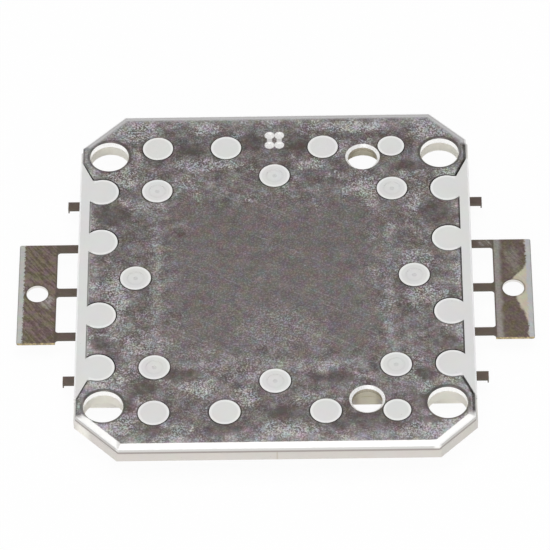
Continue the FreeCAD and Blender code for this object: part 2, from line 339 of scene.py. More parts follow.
def patchGroup():
    # Large rubbed patches with broken borders
    build, entry, leave = newGroup("rubbedPatches", {
        "Vector": ("Vector", None), "Patch Scale": ("Float", 0.3), "Coverage": ("Float", 0.5)},
        {"Mask": "Float"})
    patch = build.noise(entry["Vector"], entry["Patch Scale"], detail=5, roughness=0.62, distortion=0.4)
    level = build.spread(entry["Coverage"], *groupRange["patchLevel"])
    build.feed(leave["Mask"], build.ramp(build.minus(patch, level), *groupRange["patch"]))
    return build.tree


def scratchGroup():
    # Thin straight scratches along one direction
    build, entry, leave = newGroup("fineScratches", {
        "Vector": ("Vector", None), "Angle": ("Float", 0.0), "Across": ("Float", 6.0),
        "Along": ("Float", 0.12), "Rarity": ("Float", 0.6)}, {"Mask": "Float"})
    turned = build.add("ShaderNodeVectorRotate", {"Vector": entry["Vector"], "Angle": entry["Angle"]},
                       rotation_type="Z_AXIS").outputs[0]
    along = entry["Along"]
    stretch = build.add("ShaderNodeCombineXYZ", {"X": along, "Y": entry["Across"], "Z": along}).outputs[0]
    line = build.vector("MULTIPLY", turned, stretch)
    rise = build.minus(build.noise(line, 1.0), entry["Rarity"])
    build.feed(leave["Mask"], build.ramp(rise, *groupRange["scratch"]))
    return build.tree


def speckGroup():
    # Sparse tiny specks of dust
    build, entry, leave = newGroup("dustSpecks", {
        "Vector": ("Vector", None), "Scale": ("Float", 0.8), "Size": ("Float", 0.08)}, {"Mask": "Float"})
    cell = build.add("ShaderNodeTexVoronoi", {
        "Vector": entry["Vector"], "Scale": entry["Scale"], "Randomness": 1.0}).outputs["Distance"]
    build.feed(leave["Mask"], build.ramp(build.minus(entry["Size"], cell), *groupRange["speck"]))
    return build.tree


discDistance = distanceGroup("discDistance", circles["discs"])
rowEndDistance = distanceGroup("rowEndDistance", circles["rowEnds"], mirrorX=False)
cornerDistance = distanceGroup("cornerDistance", circles["corners"])
locatingDistance = distanceGroup("locatingDistance", circles["locating"], mirrorX=False)
gateDistance = distanceGroup("gateDistance", circles["gates"])
punchDistance = distanceGroup("punchDistance", circles["punched"], mirrorY=False)
tabHoleDistance = distanceGroup("tabHoleDistance", circles["tabs"])
outlineDepth = outlineGroup()
framePrint = framePrintGroup()
surfaceGrain = grainGroup()
sandyFrost = frostGroup()
softSpot = spotGroup()
rubbedPatches = patchGroup()
fineScratches = scratchGroup()
dustSpecks = speckGroup()
print("shared node groups built")


def newMaterial(name):
    material = bpy.data.materials.new(name)
    material.use_nodes = True
    material.node_tree.nodes.clear()
    build = Nodes(material.node_tree)
    objectPoint = build.add("ShaderNodeTexCoord").outputs["Object"]
    point = build.vector("MULTIPLY", objectPoint, (1000, 1000, 1000))  # metres to mm
    return material, build, point


def finishMaterial(build, colour, roughness, height, bump, **others):
    relief = build.add("ShaderNodeBump", {"Height": height, "Distance": bump * mm, "Strength": 1.0})
    inputs = {"Base Color": colour, "Roughness": roughness, "Normal": relief.outputs[0]}
    inputs.update({name.replace("_", " "): value for name, value in others.items()})
    surface = build.add("ShaderNodeBsdfPrincipled", inputs).outputs[0]
    build.add("ShaderNodeOutputMaterial", {"Surface": surface})


def grainAt(build, point, look):
    return use(build, surfaceGrain, {"Vector": point, **look["grain"]})


def dress(material, *names):
    for name in names:
        nodes[name].data.materials.clear()
        nodes[name].data.materials.append(material)


# Lengths below are in mm. A pair is where a mask starts and ends, or its values at both;
# a four is all of them. Roughness goes with the grain, from its lowest to its highest

# Heat slug: dull plating with sponge-like frost, smooth dark borders and bright rolled edges
slugLook = {
    "tones": [                           # from smooth brown plating to sandy frost
        (0.0, (0.165, 0.138, 0.130, 1)),
        (0.33, (0.300, 0.268, 0.260, 1)),
        (0.66, (0.480, 0.462, 0.460, 1)),
        (1.0, (0.640, 0.640, 0.640, 1)),
    ],
    "outlineShade": (0.150, 0.135, 0.125, 1),     # painted shade: thin dark line round each disc, and round each hole's rolled rim
    "punched": (0.95, 0.94, 0.92, 1),
    "bright": (0.70, 0.69, 0.67, 1),     # burnished front edge
    "cutCornerHighlight": (0.95, 0.94, 0.915, 1), # the same edge with a painted highlight on the cut corners, which face away from the light
    "holeWall": (0.985, 0.98, 0.965, 1), # punched walls
    "shaded": (0.62, 0.61, 0.59, 1),     # side walls of the cut corners
    "dull": (0.70, 0.695, 0.69, 1),      # the other edges
    "rimLight": (0.82, 0.82, 0.81, 1),   # outermost line of the back edges
    # painted shade in the back roll's crease and along the slug's lower edge
    "edgeShade": (0.40, 0.36, 0.34, 1),
    # painted shadow in the seams and along the sides' outermost lines
    "seam": (0.05, 0.045, 0.04, 1),
    "seamGlint": (0.66, 0.67, 0.62, 1),  # left seams catch the light, right ones lie in shade
    "holeWallShade": (0.52, 0.47, 0.36, 1),     # brown painted shade on the lower wall of the locating holes
    # darker painted shade towards the sides of that wall
    "holeWallShadeSide": (0.20, 0.16, 0.08, 1),
    "leftCut": 4.3,
    "rightCut": 3.7,
    "cutFromX": (15.4, 15.8),
    "printHalf": 11.8,                   # pale print of the window's walls, with calm plating inside
    "printWidth": 1.1,
    "printTone": 0.07,
    "baseTone": (0.285, 0.315),          # inside and outside the print
    "edgeFrost": (0.8, 2.8, 0.20, 0.0),
    "cornerFrost": (0.5, 2.2, 0.07, 0.0),
    "discShadeReach": (0.3, 1.0),             # painted contact shade: darker ring round each disc and locating hole
    "discShadeTone": 0.03,
    "laneReach": (0.4, 2.0),             # darker lanes along the outer rows of discs
    "laneTone": 0.04,
    "patches": {"Patch Scale": 0.34, "Coverage": 0.56},
    "patchShare": (0.1, 0.8),            # inside and outside the print
    "sandyTone": 0.29,
    "smoothTone": 0.19,
    "grains": (0.32, 0.44),              # inside and outside the print
    "sandyGrains": 0.78,
    "smoothGrains": 0.5,
    "blotches": (0.18, 0.60),            # inside and outside the print
    "grain": {"Scale": 4.2, "Hue Drift": 0.3},
    "scratches": {"Across": 4.0, "Along": 0.06, "Rarity": 0.62},
    "scratchAngle": 29,                  # degrees
    "scratchTone": 0.12,
    "specks": {"Scale": 0.6, "Size": 0.06},
    "speckTone": 0.4,
    "discLine": (0.1, 0.22, 0.5, 0.0),
    "cornerLine": (0.16, 0.36, 0.85, 0.0),
    "punchEdge": (0.04, 0.14),
    "punchRub": (0.2, 0.34, 0.75, 0.0),  # rubbed metal between the punched dots
    "punchRubEnd": (0.5, 0.6),
    "faintShare": 0.3,
    "faintPlaces": [                     # middle and reach of slightly pale places
        ((-12.2, 2.0), (0.9, 9.5)), ((11.4, -1.0), (0.6, 9.0)),
        ((-2.0, -11.8), (9.0, 1.4)), ((0.5, -7.0), (5.0, 3.0)),
    ],
    "frostPlaces": [                     # middle and reach of the palest places
        ((8.0, 20.5), (3.4, 0.9)), ((-14.2, 20.0), (2.4, 1.5)), ((16.0, 19.9), (2.0, 1.8)),
        ((-7.2, 20.5), (2.0, 0.9)), ((-15.6, 13.9), (1.8, 1.9)), ((17.8, 13.8), (1.3, 1.0)),
        ((-7.0, 15.4), (4.0, 0.9)), ((3.8, 15.3), (1.8, 0.8)), ((9.4, 12.3), (2.4, 1.6)),
        ((-16.0, -2.8), (1.4, 4.8)), ((14.2, 9.8), (0.7, 1.9)),
        ((15.4, -2.6), (2.2, 1.6)), ((18.6, 0.4), (0.6, 2.2)), ((-16.6, -13.6), (2.0, 1.5)),
        ((17.6, -13.5), (1.4, 0.8)), ((-7.4, -14.6), (2.2, 1.3)), ((-3.0, -15.8), (1.6, 1.3)),
        ((15.2, -20.2), (3.0, 1.4)), ((1.6, -20.2), (3.4, 1.0)), ((-15.2, -19.2), (1.6, 1.4)),
    ],
    "smoothPlaces": [                    # brown and smooth, almost without frost
        ((-5.2, -19.7), (2.2, 1.3)), ((9.4, -18.6), (2.2, 1.8)), ((17.2, -9.0), (1.5, 1.1)),
        ((-16.6, 8.6), (2.2, 1.7)), ((16.6, 8.4), (2.2, 1.6)), ((-17.6, -8.7), (1.0, 1.1)),
        ((-2.4, 18.4), (1.5, 1.5)), ((2.4, 18.2), (1.3, 1.5)), ((-8.5, 17.6), (1.6, 0.9)),
        ((-9.4, -12.9), (2.6, 0.9)), ((6.0, -13.4), (2.6, 0.9)), ((1.0, -17.9), (2.4, 1.0)),
        ((13.6, 15.0), (2.0, 0.8)), ((-13.0, -14.6), (1.3, 1.0)), ((-14.3, -16.4), (0.7, 1.7)),
        ((15.4, -19.0), (1.3, 0.6)), ((15.0, -13.2), (1.3, 1.0)), ((18.3, -10.2), (0.8, 1.3)),
        ((14.8, -16.8), (1.1, 1.3)), ((6.4, -19.3), (1.6, 1.0)), ((-12.0, -20.0), (1.2, 0.9)),
    ],
    "stripFromX": (18.4, 18.5),          # the side strips' seams lie outside this
    "stripToY": (15.7, 15.9),
    "stripInner": 18.95,
    "stripHalf": 13.4,                   # past this the strip steps inwards and runs out along a slant
    "stripStep": 0.25,
    "stripSlant": 0.449,
    "shadeWidth": 0.14,                  # the right side's dark lines are wider by this
    "seamReach": (0.08, 0.24),
    "seamShare": (0.7, 0.9),             # left and right seams
    "besideFrom": (0.8, 0.5),            # side edges, in from the outline
    "besideEnd": 0.3,                    # before and past the cut's start
    "frontY": (-18.6, -17.6),
    "rollWidth": 0.7,
    "backRoll": 0.46,                    # share of the roll's width that is bright at the back
    "frontInset": 0.04,
    "rollSoft": (0.60, 0.14),            # at the back and at the front
    "rollRagged": 0.02,
    "crease": 0.24,
    "creaseWidth": (0.03, 0.12, 0.35, 0.0),
    "wallFacing": (0.5, 0.6),
    "cornerWall": (0.16, 0.24),
    "countersink": (0.24, 0.28),
    "cutWall": (0.3, 0.1),
    "sideLine": (0.1, 0.26),
    "sideLineShare": (0.6, 0.8),         # left and right
    "brim": (0.12, 0.16),
    "brimFacing": (0.6, 0.8),
    "edgeShadeHeight": (0.16, 0.34),
    "edgeShadeDepth": (0.1, 0.2),
    "holeWallShadeDepth": (0.36, 0.26),
    "holeWallShadeReach": (0.1, 0.2),
    "holeWallShadeAside": (0.4, 1.5),
    "roughness": (0.44, 0.37),
    "bump": 0.003,
    "holePolish": 0.12,
    "paste": (0.45, 1.0, 0.0, 0.7),      # how far sand, marks and brims look like paste, not metal
    "markPaste": 0.7,
    "brimPaste": 0.85,
    "backPaste": 0.6,
}


def slugMaterial(look):
    material, build, point = newMaterial("platedSlug")
    axes = build.split(point)
    facing = build.facing()
    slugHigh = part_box("heat_slug")[1] / mm
    sideX = build.absolute(axes["X"])
    sideY = build.absolute(axes["Y"])
    disc = distanceTo(build, discDistance, point)
    disc = build.smaller(disc, distanceTo(build, rowEndDistance, point))
    corner = distanceTo(build, cornerDistance, point)
    locating = distanceTo(build, locatingDistance, point)
    punched = distanceTo(build, punchDistance, point)
    depth = use(build, outlineDepth, {"Vector": point, "Half X": slugHigh.x, "Half Y": slugHigh.y,
                                      "Left Cut": look["leftCut"], "Right Cut": look["rightCut"]})["Depth"]

    def anyPlace(places):
        cover = 0.0
        for middle, reach in places:
            spot = use(build, softSpot, {"Vector": point, "Centre": (*middle, 0), "Reach": (*reach, 1)})
            cover = build.larger(cover, spot["Mask"])
        return cover

    # Smooth and dark: painted contact shade near the discs, and darker along their outer rows and in a few
    # other places
    window = use(build, framePrint, {"Vector": point, "Half": look["printHalf"], "Width": look["printWidth"]})
    outside = build.invert(window["Inside"])
    discShade = build.fall(build.smaller(disc, locating), *look["discShadeReach"])
    lane = build.fall(build.absolute(build.minus(sideY, layout["rowY"])), *look["laneReach"])
    smooth = anyPlace(look["smoothPlaces"])
    pale = anyPlace(look["frostPlaces"])
    patches = use(build, rubbedPatches, {"Vector": point, **look["patches"]})["Mask"]
    sandy = build.larger(pale, build.times(patches, build.spread(outside, *look["patchShare"])))
    sandy = build.larger(sandy, build.times(anyPlace(look["faintPlaces"]), look["faintShare"]))
    sandy = build.times(sandy, build.invert(smooth))
    level = build.plus(build.spread(outside, *look["baseTone"]), build.ramp(depth, *look["edgeFrost"]))
    level = build.plus(level, build.times(window["Lines"], look["printTone"]))
    level = build.plus(level, build.times(sandy, look["sandyTone"]))
    level = build.minus(level, build.times(smooth, look["smoothTone"]))
    level = build.minus(level, build.times(discShade, look["discShadeTone"]))
    level = build.plus(level, build.ramp(corner, *look["cornerFrost"]))
    level = build.minus(level, build.times(lane, look["laneTone"]))
    grains = build.spread(outside, *look["grains"])
    grains = build.times(grains, build.spread(smooth, 1.0, look["smoothGrains"]))
    grains = build.plus(grains, build.times(sandy, look["sandyGrains"]))
    frost = use(build, sandyFrost, {"Vector": point, "Level": level, "Grains": grains,
                                    "Blotches": build.spread(outside, *look["blotches"])})
    angle = math.radians(look["scratchAngle"])
    scratches = use(build, fineScratches, {"Vector": point, "Angle": angle, **look["scratches"]})["Mask"]
    specks = use(build, dustSpecks, {"Vector": point, **look["specks"]})["Mask"]
    marks = build.plus(build.times(scratches, look["scratchTone"]), build.times(specks, look["speckTone"]))
    tone = build.plus(frost["Tone"], marks, clamp=True)
    grain = grainAt(build, point, look)
    face = build.shades(tone, look["tones"])
    # painted shade: dark lines round the discs and the corner holes' rims
    line = build.larger(build.ramp(disc, *look["discLine"]), build.ramp(corner, *look["cornerLine"]))
    face = build.mix(line, face, look["outlineShade"])
    face = build.tinted(face, grain["Tint"])
    mark = build.fall(punched, *look["punchEdge"])
    between = build.absolute(build.minus(sideX, layout["markX"]))
    upright = build.absolute(build.minus(axes["Y"], layout["markY"]))
    rubbed = build.times(build.ramp(between, *look["punchRub"]), build.fall(upright, *look["punchRubEnd"]))
    mark = build.larger(mark, rubbed)
    face = build.mix(mark, face, look["punched"])

    # Bright rolled edges and punched walls, with a painted highlight on the cut corners and painted shade on
    # the crease and the cut corners' side walls
    strips = build.times(build.ramp(sideX, *look["stripFromX"]), build.fall(sideY, *look["stripToY"]))
    openEdge = build.invert(strips)
    cutFrom = slugHigh.y - look["leftCut"]
    beside = build.times(build.ramp(sideX, *[slugHigh.x - inset for inset in look["besideFrom"]]),
                         build.fall(sideY, cutFrom - look["besideEnd"], cutFrom + look["besideEnd"]))
    front = build.times(build.fall(axes["Y"], *look["frontY"]), build.invert(beside))
    reach = build.spread(front, look["rollWidth"] * look["backRoll"], look["rollWidth"] - look["frontInset"])
    soft = build.spread(front, *look["rollSoft"])
    ragged = build.plus(depth, build.spread(grain["Value"], -look["rollRagged"], look["rollRagged"]))
    band = build.fall(build.minus(ragged, reach), 0.0, soft)
    wall = build.fall(build.absolute(facing), *look["wallFacing"])
    onSide = build.times(beside, build.invert(wall))
    band = build.times(build.times(band, openEdge), build.invert(onSide))
    holeWall = build.times(wall, build.fall(corner, *look["cornerWall"]))
    countersink = build.fall(locating, *look["countersink"])
    bright = build.larger(build.larger(band, holeWall), countersink)
    seam = build.times(wall, build.invert(bright))
    # painted shade along the crease of the back roll
    crease = build.ramp(build.absolute(build.minus(ragged, look["crease"])), *look["creaseWidth"])
    edges = build.mix(crease, look["dull"], look["edgeShade"])
    onCorner = build.ramp(sideX, *look["cutFromX"])
    edgeMetalLightAndShade = build.mix(front, edges, build.mix(onCorner, look["bright"], look["cutCornerHighlight"]))
    onCut = build.fall(build.absolute(axes["Y"]), *[slugHigh.y - inset for inset in look["cutWall"]])
    edgeMetalLightAndShade = build.mix(build.times(wall, onCut), edgeMetalLightAndShade, look["shaded"])
    inHoles = build.larger(holeWall, countersink)
    edgeMetalLightAndShade = build.mix(inHoles, edgeMetalLightAndShade, look["holeWall"])

    # Painted shadow and painted glint in the seams beside the side strips
    pastStrip = build.math("GREATER_THAN", sideY, look["stripHalf"])
    slant = build.times(build.minus(sideY, look["stripHalf"]), look["stripSlant"])
    seamX = build.plus(look["stripInner"], build.times(pastStrip, build.minus(slant, look["stripStep"])))
    onRight = build.math("GREATER_THAN", axes["X"], 0.0)
    wide = build.times(build.times(onRight, pastStrip), look["shadeWidth"])
    fromSeam = build.minus(build.minus(seamX, sideX), wide)
    besideStrip = build.times(build.fall(fromSeam, *look["seamReach"]), strips)
    inShade = build.larger(onRight, pastStrip)
    seamTone = build.mix(inShade, look["seamGlint"], look["seam"])
    seamCover = build.ramp(wide, 0.0, look["shadeWidth"], *look["seamShare"])
    face = build.mix(build.times(besideStrip, seamCover), face, seamTone)
    # painted shade: dark outermost line along the side edges, wider and stronger on the right
    fromEdge = build.minus(depth, build.times(onRight, look["shadeWidth"]))
    outermost = build.ramp(fromEdge, *look["sideLine"], build.spread(onRight, *look["sideLineShare"]), 0.0)
    face = build.mix(build.times(onSide, outermost), face, look["seam"])
    # painted highlight on the flat brim along the outline, brightest at the front
    brim = build.times(build.fall(depth, *look["brim"]), build.ramp(facing, *look["brimFacing"]))
    edgeMetalLightAndShade = build.mix(brim, edgeMetalLightAndShade, build.mix(front, look["rimLight"], look["holeWall"]))
    colour = build.mix(bright, face, edgeMetalLightAndShade)
    # painted shadow on every wall outside the bright edges and holes: the seams and the sides
    colour = build.mix(seam, colour, look["seam"])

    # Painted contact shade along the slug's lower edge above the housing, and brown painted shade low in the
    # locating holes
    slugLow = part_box("heat_slug")[0].z / mm
    edgeShade = build.fall(axes["Z"], *[slugLow + height for height in look["edgeShadeHeight"]])
    edgeShade = build.times(edgeShade, build.fall(depth, *look["edgeShadeDepth"]))
    colour = build.mix(edgeShade, colour, look["edgeShade"])
    low = build.fall(axes["Z"], *[slugHigh.z - down for down in look["holeWallShadeDepth"]])
    inHoleWallShade = build.times(low, build.fall(locating, *look["holeWallShadeReach"]))
    aside = build.absolute(build.minus(axes["X"], layout["locatingX"]))
    holeWallShade = build.mix(build.ramp(aside, *look["holeWallShadeAside"]), look["holeWallShade"], look["holeWallShadeSide"])
    colour = build.mix(inHoleWallShade, colour, holeWallShade)

    roughness = build.spread(grain["Value"], *look["roughness"])
    roughness = build.minus(roughness, build.times(inHoles, look["holePolish"]))
    calm = build.invert(bright)
    height = build.times(build.plus(grain["Value"], tone), calm)
    sand = build.times(build.times(tone, calm), build.invert(line))
    pasty = build.larger(build.ramp(sand, *look["paste"]), build.times(mark, look["markPaste"]))
    pasty = build.larger(pasty, build.times(build.larger(brim, countersink), look["brimPaste"]))
    behind = build.times(band, build.invert(front))
    pasty = build.larger(pasty, build.times(behind, look["backPaste"]))
    finishMaterial(build, colour, roughness, height, look["bump"], Metallic=build.invert(pasty))
    return material


# Housing: matt white plastic, a little warmer below the slug
plasticLook = {
    "white": (0.755, 0.755, 0.735, 1),
    "rim": (0.90, 0.90, 0.88, 1),        # painted highlight: lighter edge of each disc
    "flange": (0.69, 0.655, 0.61, 1),
    # painted light: pale walls inside the corner holes, lifting their shade
    "holeWall": (0.98, 0.955, 0.875, 1),
    "holeShadeAndMouldLine": (0.36, 0.27, 0.13, 1),      # brown painted shade on the walls of the locating holes, also the colour of the moulding line
    # painted light on the middle and lower part of those walls
    "holeLitMiddle": (1.0, 0.97, 0.80, 1),
    "gateShade": (0.50, 0.50, 0.49, 1),  # gate marks in eight of the rivets
    "stripEdgeHighlight": (0.97, 0.97, 0.96, 1),       # painted highlight along the outer edge of the side strips
    "cloud": (0.5, 0.48, 0.45, 1),
    "dust": (0.35, 0.33, 0.3, 1),
    "grain": {"Scale": 1.6, "Hue Drift": 0.05},
    "specks": {"Scale": 0.7, "Size": 0.06},
    "speckTone": 0.25,
    "belowSeat": (0.1, 0.0),             # levels from the slug's seat
    "aboveSeat": (0.1, 0.2),
    "discRim": (-0.36, -0.1),
    "rimsEndX": (18.4, 18.7),
    "gateEdge": (0.04, 0.2, 0.13, 0.0),
    "gateDimple": (-0.66, -0.56, 0.28, 0.0),
    "stripHighlightFrom": 0.22,
    "cornerWall": (0.8, 1.2),
    "plasticShadeAside": (0.5, 1.7, 0.0, 0.82),
    "plasticShadeBelow": 0.5,
    "plasticShadeLow": 0.36,
    "plasticShadeReach": (0.5, 0.8),
    "plasticShadeFromZ": (0.9, 1.2),
    "partingX": 0.15,                    # thin moulding line on both ends of the flange
    "partingWidth": (0.04, 0.1, 0.3, 0.0),
    "partingY": (21.0, 21.5),
    "cloudScale": 0.35,
    "cloudCover": (0.3, 0.7, 0.0, 0.06),
    "roughness": (0.52, 0.62),
    "bump": 0.003,
}


def plasticMaterial(look):
    material, build, point = newMaterial("whitePlastic")
    axes = build.split(point)
    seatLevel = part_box("heat_slug")[0].z / mm
    disc = distanceTo(build, discDistance, point)
    disc = build.smaller(disc, distanceTo(build, rowEndDistance, point))
    corner = distanceTo(build, cornerDistance, point)
    locating = distanceTo(build, locatingDistance, point)
    grain = grainAt(build, point, look)
    specks = use(build, dustSpecks, {"Vector": point, **look["specks"]})["Mask"]

    # Discs, flange and gate marks, with painted highlights on the discs' rims and on the side strips' outer
    # edges
    below = build.fall(axes["Z"], *[seatLevel - down for down in look["belowSeat"]])
    base = build.mix(below, look["white"], look["flange"])
    raised = build.ramp(axes["Z"], *[seatLevel + up for up in look["aboveSeat"]])
    inRim = build.times(build.ramp(disc, *look["discRim"]), raised)
    ends = build.fall(build.absolute(axes["X"]), *look["rimsEndX"])
    base = build.mix(build.times(inRim, ends), base, look["rim"])
    gate = distanceTo(build, gateDistance, point)
    gateEdge = build.ramp(build.absolute(gate), *look["gateEdge"])
    dimple = build.ramp(gate, *look["gateDimple"])
    gateMark = build.times(build.larger(gateEdge, dimple), raised)
    base = build.mix(gateMark, base, look["gateShade"])
    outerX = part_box("housing")[1].x / mm
    # painted highlight along the side strips' outer edges
    stripEdgeHighlight = build.ramp(build.absolute(axes["X"]), outerX - look["stripHighlightFrom"], outerX - look["stripHighlightFrom"] / 3)
    base = build.mix(build.times(stripEdgeHighlight, raised), base, look["stripEdgeHighlight"])

    # Walls of the holes with painted light and shade, the moulding line, clouds and dust
    base = build.mix(build.times(below, build.fall(corner, *look["cornerWall"])), base, look["holeWall"])
    fromMiddle = build.absolute(build.minus(axes["X"], layout["locatingX"]))
    # painted shade on the locating holes' walls: darker towards the sides and the top, painted light in the
    # middle and low
    upWall = build.ramp(axes["Z"], seatLevel - look["plasticShadeBelow"], seatLevel, 0.0, look["plasticShadeLow"])
    holeShadeShare = build.plus(build.ramp(fromMiddle, *look["plasticShadeAside"]), upWall, clamp=True)
    holeShadeAndMouldLine = build.mix(holeShadeShare, look["holeLitMiddle"], look["holeShadeAndMouldLine"])
    inHole = build.times(build.fall(locating, *look["plasticShadeReach"]), build.ramp(axes["Z"], *look["plasticShadeFromZ"]))
    base = build.mix(build.times(inHole, below), base, holeShadeAndMouldLine)
    parting = build.ramp(build.absolute(build.minus(axes["X"], look["partingX"])), *look["partingWidth"])
    parting = build.times(parting, build.ramp(build.absolute(axes["Y"]), *look["partingY"]))
    base = build.mix(build.times(parting, below), base, look["holeShadeAndMouldLine"])
    cloud = build.noise(point, look["cloudScale"], detail=3)
    base = build.mix(build.ramp(cloud, *look["cloudCover"]), base, look["cloud"])
    base = build.mix(build.times(specks, look["speckTone"]), base, look["dust"])
    colour = build.tinted(base, grain["Tint"])
    roughness = build.spread(grain["Value"], *look["roughness"])
    finishMaterial(build, colour, roughness, grain["Value"], look["bump"])
    return material


# Leads: tarnished plating, scratched, with dark cut edges and some bare brass at the front
leadLook = {
    "dark": (0.152, 0.122, 0.104, 1),
    "light": (0.42, 0.360, 0.320, 1),
    "rubAndSheen": (0.74, 0.74, 0.70, 1),       # pale rubbed smears, and painted sheen on the inner strip and along the tab's outer edge
    # painted sheen along the right tab's outer edge
    "coolSheen": (0.66, 0.68, 0.67, 1),
    # painted sheen on the wedge beside the right tab's hole
    "warmSheen": (0.80, 0.74, 0.58, 1),
    "finger": (0.27, 0.205, 0.175, 1),
    "olive": (0.98, 1.0, 0.74, 1),
    "purple": (1.0, 0.88, 1.0, 1),
    # dark cut edges, also painted shade along the tab's borders
    "cutEdgeAndBorderShade": (0.13, 0.11, 0.09, 1),
    "holeWall": (0.90, 0.88, 0.84, 1),
    "brass": (0.62, 0.50, 0.27, 1),
    "grain": {"Scale": 3.6, "Hue Drift": 0.16},
    "grainTone": 0.40,
    "scratches": {"Across": 5.0, "Along": 0.7, "Rarity": 0.47},
    "scratchAngle": 52,                  # degrees
    "patches": {"Patch Scale": 0.3, "Coverage": 0.42},
    "patchTone": 0.15,
    "filmScale": 1.1,
    "filmCover": (0.36, 0.64),
    "wanderScale": 0.9,                  # of the pale strips' borders
    "tabFrom": 22.2,
    "tabEdge": 0.2,
    "innerStripEnd": (0.5, 1.0),
    "paleGrain": (0.7, 1.0),
    "wedgeBend": (0.8, 3.4, -1.6, 0.0),  # widest beside the hole, narrower to the front
    "wedgeFront": (-5.5, 1.2),
    "wedgeEdge": (-0.1, 0.25),
    "stripWidth": 0.62,
    "stripEdge": 0.12,
    "stripRagged": 0.1,
    "stripShare": 0.9,
    "legRagged": 0.2,
    "legEnd": (21.6, 22.2, 0.75, 0.0),
    "border": (0.05, 0.22, 0.55, 0.0),
    "outerBorder": (0.03, 0.12, 0.5, 0.0),
    "cutFacing": (0.4, 0.7),
    "brassFrom": (-6.55, -6.45),
    "brassTo": (-7.95, -7.45),
    "brassGrain": (0.2, 1.0),
    "holeEdge": (0.02, 0.08, 0.85, 0.0),
    "roughness": (0.48, 0.38),
    "bump": 0.003,
}
leadMarks = {
    "lead_left": {
        "smears": [((-23.3, -0.95, 0), (0.9, 0.7, 1), 0.6), ((-23.0, -1.6, 0), (0.35, 0.6, 1), 0.4)],
        "innerStrip": 0.0,
        "scratched": 0.34,
        "wedge": 0.0,                    # share of the painted sheen on the wedge beside the hole
    },
    "lead_right": {
        "smears": [((21.4, 6.2, 0), (0.8, 0.6, 1), 0.7), ((24.9, -1.3, 0), (0.5, 0.7, 1), 0.7),
                   ((24.2, 3.9, 0), (0.9, 1.9, 1), 0.24)],
        "innerStrip": 0.5,
        "scratched": 0.10,
        "wedge": 0.9,
    },
}


def leadMaterial(look, node, marks):
    material, build, point = newMaterial("plated_" + node)
    axes = build.split(point)
    facing = build.facing()
    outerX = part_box("lead_right")[1].x / mm
    grain = grainAt(build, point, look)
    angle = math.radians(look["scratchAngle"])
    scratches = use(build, fineScratches, {"Vector": point, "Angle": angle, **look["scratches"]})["Mask"]
    patches = use(build, rubbedPatches, {"Vector": point, **look["patches"]})["Mask"]
    across = build.absolute(axes["X"])
    tone = build.times(grain["Value"], look["grainTone"])
    tone = build.plus(tone, build.times(scratches, marks["scratched"]))
    tone = build.plus(tone, build.times(patches, look["patchTone"]), clamp=True)
    face = build.mix(tone, look["dark"], look["light"])
    film = build.ramp(build.noise(point, look["filmScale"], detail=3, roughness=0.6), *look["filmCover"])
    face = build.tinted(face, build.mix(film, look["olive"], look["purple"]))

    # Pale places: rubbed smears, and painted sheen on the inner strip, the wedge and the outer strip
    wander = build.minus(build.noise(point, look["wanderScale"], detail=4, roughness=0.65), 0.5)
    ragged = build.plus(across, wander)
    innerEnd = [look["tabFrom"] + width for width in look["innerStripEnd"]]
    pale = build.times(build.ramp(across, look["tabFrom"], look["tabFrom"] + look["tabEdge"]),
                       build.ramp(ragged, *innerEnd, marks["innerStrip"], 0.0))
    for centre, reach, strength in marks["smears"]:
        spot = use(build, softSpot, {"Vector": point, "Centre": centre, "Reach": reach})["Mask"]
        pale = build.larger(pale, build.times(spot, build.spread(scratches, strength / 2, strength)))
    pale = build.times(pale, build.spread(grain["Value"], *look["paleGrain"]))
    bend = build.times(build.ramp(axes["Y"], *look["wedgeBend"]), build.ramp(axes["Y"], *look["wedgeFront"]))
    stripFrom = outerX - look["stripWidth"]
    inWedge = build.ramp(build.minus(ragged, build.plus(bend, stripFrom)), *look["wedgeEdge"])
    wedge = build.times(inWedge, marks["wedge"])
    strip = build.plus(across, build.spread(grain["Value"], -look["stripRagged"], look["stripRagged"]))
    strip = build.ramp(strip, stripFrom, stripFrom + look["stripEdge"])
    rubAndSheen = build.mix(marks["wedge"], look["rubAndSheen"], look["coolSheen"])
    face = build.mix(build.times(pale, look["stripShare"]), face, look["rubAndSheen"])
    face = build.mix(wedge, face, look["warmSheen"])
    face = build.mix(build.times(strip, look["stripShare"]), face, rubAndSheen)

    # Browner fingers, painted shade along the borders, and dark cut edges
    leg = build.plus(across, build.spread(grain["Value"], -look["legRagged"], look["legRagged"]))
    leg = build.times(build.ramp(leg, *look["legEnd"]), build.invert(pale))
    face = build.mix(leg, face, look["finger"])
    hole = distanceTo(build, tabHoleDistance, point)
    border = build.smaller(build.minus(across, look["tabFrom"]), hole)
    border = build.times(build.ramp(border, *look["border"]), build.invert(pale))
    border = build.larger(border, build.ramp(build.minus(outerX, across), *look["outerBorder"]))
    face = build.mix(border, face, look["cutEdgeAndBorderShade"])
    face = build.tinted(face, grain["Tint"])
    cut = build.fall(build.absolute(facing), *look["cutFacing"])
    onTab = build.times(build.fall(axes["Y"], *look["brassFrom"]), build.ramp(axes["Y"], *look["brassTo"]))
    brassShare = build.times(onTab, build.spread(grain["Value"], *look["brassGrain"]))
    edge = build.mix(brassShare, look["cutEdgeAndBorderShade"], look["brass"])
    edge = build.mix(build.ramp(hole, *look["holeEdge"]), edge, look["holeWall"])
    colour = build.mix(cut, face, edge)
    roughness = build.spread(grain["Value"], *look["roughness"])
    height = build.plus(grain["Value"], scratches)
    finishMaterial(build, colour, roughness, height, look["bump"], Metallic=1.0)
    return material


